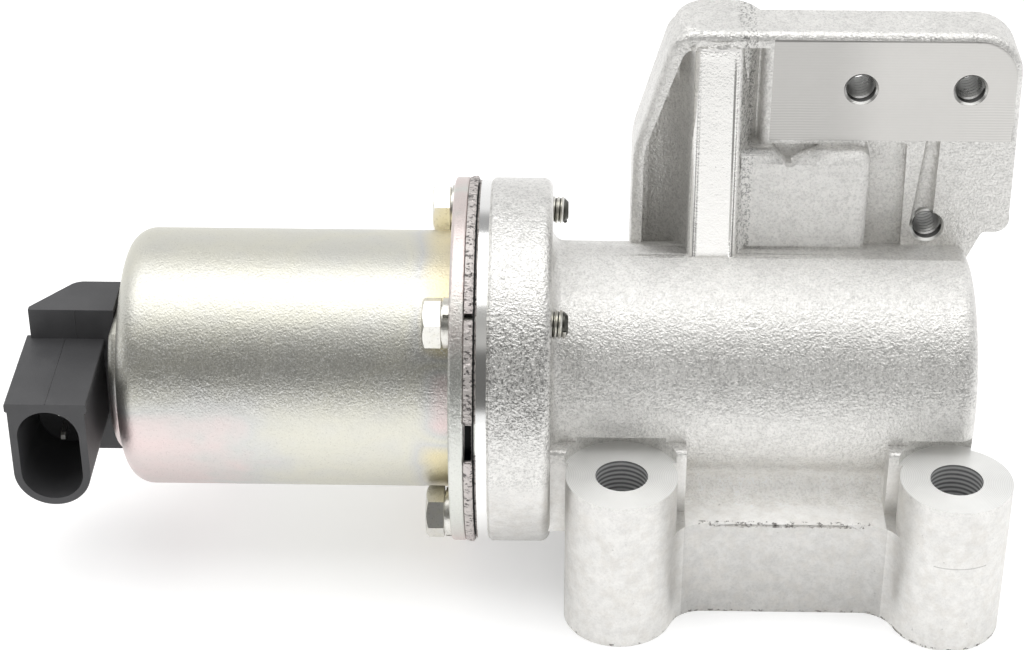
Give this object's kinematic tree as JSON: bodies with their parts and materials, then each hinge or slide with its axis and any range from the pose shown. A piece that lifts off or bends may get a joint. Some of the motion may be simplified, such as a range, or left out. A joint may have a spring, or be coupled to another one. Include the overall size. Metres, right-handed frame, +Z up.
{
  "type": "egr valve",
  "caption": "Solenoid-driven exhaust gas recirculation valve: cast aluminium body with gas ports, bolt bosses and a bracket, a round flange and a plated solenoid can with side plug.",
  "frame": {"origin": "on the bolted base face, midway between the two gas ports and under the valve axis", "axes": "+X along the valve axis from the solenoid to the closed end of the casting, +Z up from the base face"},
  "size_m": [0.1729, 0.0751, 0.0957],
  "materials": {
    "cast_aluminium": "sand-textured casting with machined faces",
    "hard_steel": "ground",
    "sintered_iron": "sintered",
    "sealing_plastic": "matte",
    "machined_steel": "turned and bright",
    "gasket_sheet": "matte",
    "zinc_sheet": "sheared sheet, zinc plated",
    "yellow_zinc": "satin, yellow chromate with an iridescent bloom",
    "seal_rubber": "matte",
    "black_plastic": "fine moulded grain",
    "tinned_brass": "tin plated",
    "spool_plastic": "natural moulded plastic",
    "enamelled_wire": "enamelled copper wire",
    "soft_iron": "turned and plated",
    "tube_brass": "drawn",
    "spring_steel": "drawn wire",
    "screw_zinc": "bright zinc"
  },
  "bodies": {
    "housing": {"valve_body": "cast_aluminium", "valve_seat": "hard_steel", "stem_guide_bush": "sintered_iron", "stem_seal": "sealing_plastic", "spacer_ring": "machined_steel", "flange_gasket": "gasket_sheet", "end_plate": "zinc_sheet", "clamp_plate": "yellow_zinc", "solenoid_can": "yellow_zinc", "can_seal_ring": "seal_rubber", "connector_housing": "black_plastic", "terminal_upper": "tinned_brass", "terminal_lower": "tinned_brass", "coil_bobbin": "spool_plastic", "coil_winding": "enamelled_wire", "pole_core": "soft_iron", "pole_plate": "soft_iron", "armature_tube": "tube_brass", "return_spring": "spring_steel", "flange_screw_1": "screw_zinc", "lock_washer_1": "screw_zinc", "flange_screw_2": "screw_zinc", "lock_washer_2": "screw_zinc", "flange_screw_3": "screw_zinc", "lock_washer_3": "screw_zinc", "flange_screw_4": "screw_zinc", "lock_washer_4": "screw_zinc"},
    "plunger": {"armature": "soft_iron", "valve_stem": "hard_steel", "poppet": "hard_steel", "spring_retainer": "hard_steel"}
  },
  "joints": [
    {"name": "plunger_slide", "type": "slide", "parent": "housing", "child": "plunger", "axis": [-1, 0, 0], "range_m": [0, 0.0055], "stiffness_N_per_m": 1500, "springref_m": -0.004, "deforming": ["return_spring"]}
  ]
}
